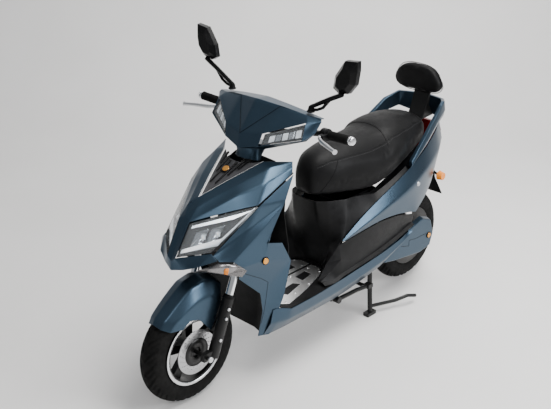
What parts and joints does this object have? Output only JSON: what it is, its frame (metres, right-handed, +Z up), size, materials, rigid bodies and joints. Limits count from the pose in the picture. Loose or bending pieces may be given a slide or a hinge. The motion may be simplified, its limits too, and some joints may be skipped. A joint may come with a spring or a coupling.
{
  "type": "moped scooter",
  "caption": "Step-through electric scooter on its centre stand, with faceted front panels, twin mirrors, padded backrest, disc brake and hub motor.",
  "frame": {"origin": "bottom centre of the overall box, on the ground under the middle of the scooter", "axes": "+X forward along the scooter, +Y to the rider's left, +Z up"},
  "size_m": [1.735, 0.788, 1.272],
  "materials": {
    "black_metal": "black powder coat",
    "black_plastic": "grained black",
    "body_paint": "satin metallic blue paint",
    "chrome": "polished",
    "disc_steel": "brushed",
    "grey_grille": "matt grey",
    "grip_rubber": "ribbed",
    "lens_amber": "amber lens",
    "lens_clear": "clear",
    "lens_red": "red lens",
    "seat_leather": "black synthetic leather",
    "tread_silver": "bright satin",
    "tyre_rubber": "matt"
  },
  "bodies": {
    "chassis": {"main_frame": "black_metal", "nose_fairing": "body_paint", "grille_panel": "grey_grille", "headlight_left": "lens_clear", "headlight_right": "lens_clear", "apron_left": "body_paint", "apron_right": "body_paint", "turn_signal_left": "lens_clear", "turn_signal_right": "lens_clear", "tread_plate_left": "tread_silver", "tread_plate_right": "tread_silver", "side_skirt_left": "body_paint", "side_skirt_right": "body_paint", "side_panel_left": "body_paint", "side_panel_right": "body_paint", "lower_flank_left": "black_plastic", "lower_flank_right": "black_plastic", "rear_signal_left": "lens_amber", "rear_signal_right": "lens_amber", "inner_leg_shield": "black_plastic", "wheel_arch_liner": "black_plastic", "footboard": "black_plastic", "seat_skirt": "black_plastic", "storage_bucket": "black_plastic", "grab_rail": "body_paint", "tail_light": "lens_red", "rear_mudflap": "black_plastic", "backrest_bracket": "black_metal", "backrest_pad": "seat_leather", "rear_shock": "chrome"},
    "seat": {"seat_cushion": "seat_leather"},
    "steering": {"steering_stem": "black_metal", "handlebar": "black_metal", "handlebar_cowl": "body_paint", "cowl_light_left": "lens_clear", "cowl_light_right": "lens_clear", "neck_cover": "black_plastic", "dashboard": "black_plastic", "grip_left": "grip_rubber", "switch_pod_left": "black_plastic", "switch_pod_right": "black_plastic"},
    "throttle": {"throttle_grip": "grip_rubber"},
    "lever_left": {"brake_lever_left": "chrome"},
    "lever_right": {"brake_lever_right": "chrome"},
    "mirror_arm_left": {"mirror_stem_left": "black_plastic"},
    "mirror_arm_right": {"mirror_stem_right": "black_plastic"},
    "mirror_left": {"mirror_head_left": "black_plastic"},
    "mirror_right": {"mirror_head_right": "black_plastic"},
    "fork": {"fork_lower": "black_metal", "front_fender": "body_paint", "brake_caliper": "black_metal"},
    "front_wheel": {"front_rim": "black_metal", "front_tyre": "tyre_rubber", "brake_disc": "disc_steel"},
    "rear_arm": {"swingarm": "black_metal", "swingarm_cover": "body_paint"},
    "rear_wheel": {"rear_hub_motor": "black_metal", "rear_tyre": "tyre_rubber"},
    "main_stand": {"centre_stand": "black_metal"},
    "kick_stand": {"side_stand": "black_metal"}
  },
  "joints": [
    {"name": "steering", "type": "hinge", "parent": "chassis", "child": "steering", "pos_m": [0.59, 0, 0.22], "axis": [-0.3762, 0, 0.9265], "range_deg": [-35, 35]},
    {"name": "front_suspension", "type": "slide", "parent": "steering", "child": "fork", "axis": [-0.3762, 0, 0.9265], "range_m": [0, 0.035], "stiffness_N_per_m": 9000, "springref_m": -0.05},
    {"name": "front_wheel_spin", "type": "hinge", "parent": "fork", "child": "front_wheel", "pos_m": [0.655, 0, 0.21], "axis": [0, 1, 0], "continuous": true},
    {"name": "swingarm_pivot", "type": "hinge", "parent": "chassis", "child": "rear_arm", "pos_m": [-0.25, 0, 0.29], "axis": [0, 1, 0], "range_deg": [0, 5], "stiffness_Nm_per_rad": 900, "springref_deg": -11.46},
    {"name": "rear_wheel_spin", "type": "hinge", "parent": "rear_arm", "child": "rear_wheel", "pos_m": [-0.66, 0, 0.22], "axis": [0, 1, 0], "continuous": true},
    {"name": "centre_stand_pivot", "type": "hinge", "parent": "chassis", "child": "main_stand", "pos_m": [-0.293, 0, 0.235], "axis": [0, 1, 0], "range_deg": [0, 60]},
    {"name": "side_stand_pivot", "type": "hinge", "parent": "chassis", "child": "kick_stand", "pos_m": [-0.02, 0.15, 0.19], "axis": [0, -0.9578, -0.2873], "range_deg": [0, 80]},
    {"name": "seat_hinge", "type": "hinge", "parent": "chassis", "child": "seat", "pos_m": [0.03, 0, 0.628], "axis": [0, 1, 0], "range_deg": [0, 60]},
    {"name": "brake_lever_left_pivot", "type": "hinge", "parent": "steering", "child": "lever_left", "pos_m": [0.23772, 0.25914, 0.98004], "axis": [0, 0, 1], "range_deg": [0, 16], "stiffness_Nm_per_rad": 2, "springref_deg": -11.46},
    {"name": "brake_lever_right_pivot", "type": "hinge", "parent": "steering", "child": "lever_right", "pos_m": [0.23772, -0.25914, 0.98004], "axis": [0, 0, -1], "range_deg": [0, 16], "stiffness_Nm_per_rad": 2, "springref_deg": -11.46},
    {"name": "throttle_twist", "type": "hinge", "parent": "steering", "child": "throttle", "pos_m": [0.19, -0.235, 0.98], "axis": [0.1116, -0.9902, 0.0837], "range_deg": [0, 60], "stiffness_Nm_per_rad": 0.3, "springref_deg": -11.46},
    {"name": "mirror_arm_left_swivel", "type": "hinge", "parent": "steering", "child": "mirror_arm_left", "pos_m": [0.2135, 0.198, 1.058], "axis": [0, 0, 1], "range_deg": [-25, 25]},
    {"name": "mirror_left_tilt", "type": "hinge", "parent": "mirror_arm_left", "child": "mirror_left", "pos_m": [0.214, 0.278, 1.12], "axis": [0, 0.8944, 0.4472], "range_deg": [-12, 12]},
    {"name": "mirror_arm_right_swivel", "type": "hinge", "parent": "steering", "child": "mirror_arm_right", "pos_m": [0.2135, -0.198, 1.058], "axis": [0, 0, 1], "range_deg": [-25, 25]},
    {"name": "mirror_right_tilt", "type": "hinge", "parent": "mirror_arm_right", "child": "mirror_right", "pos_m": [0.214, -0.278, 1.12], "axis": [0, -0.8944, 0.4472], "range_deg": [-12, 12]}
  ]
}
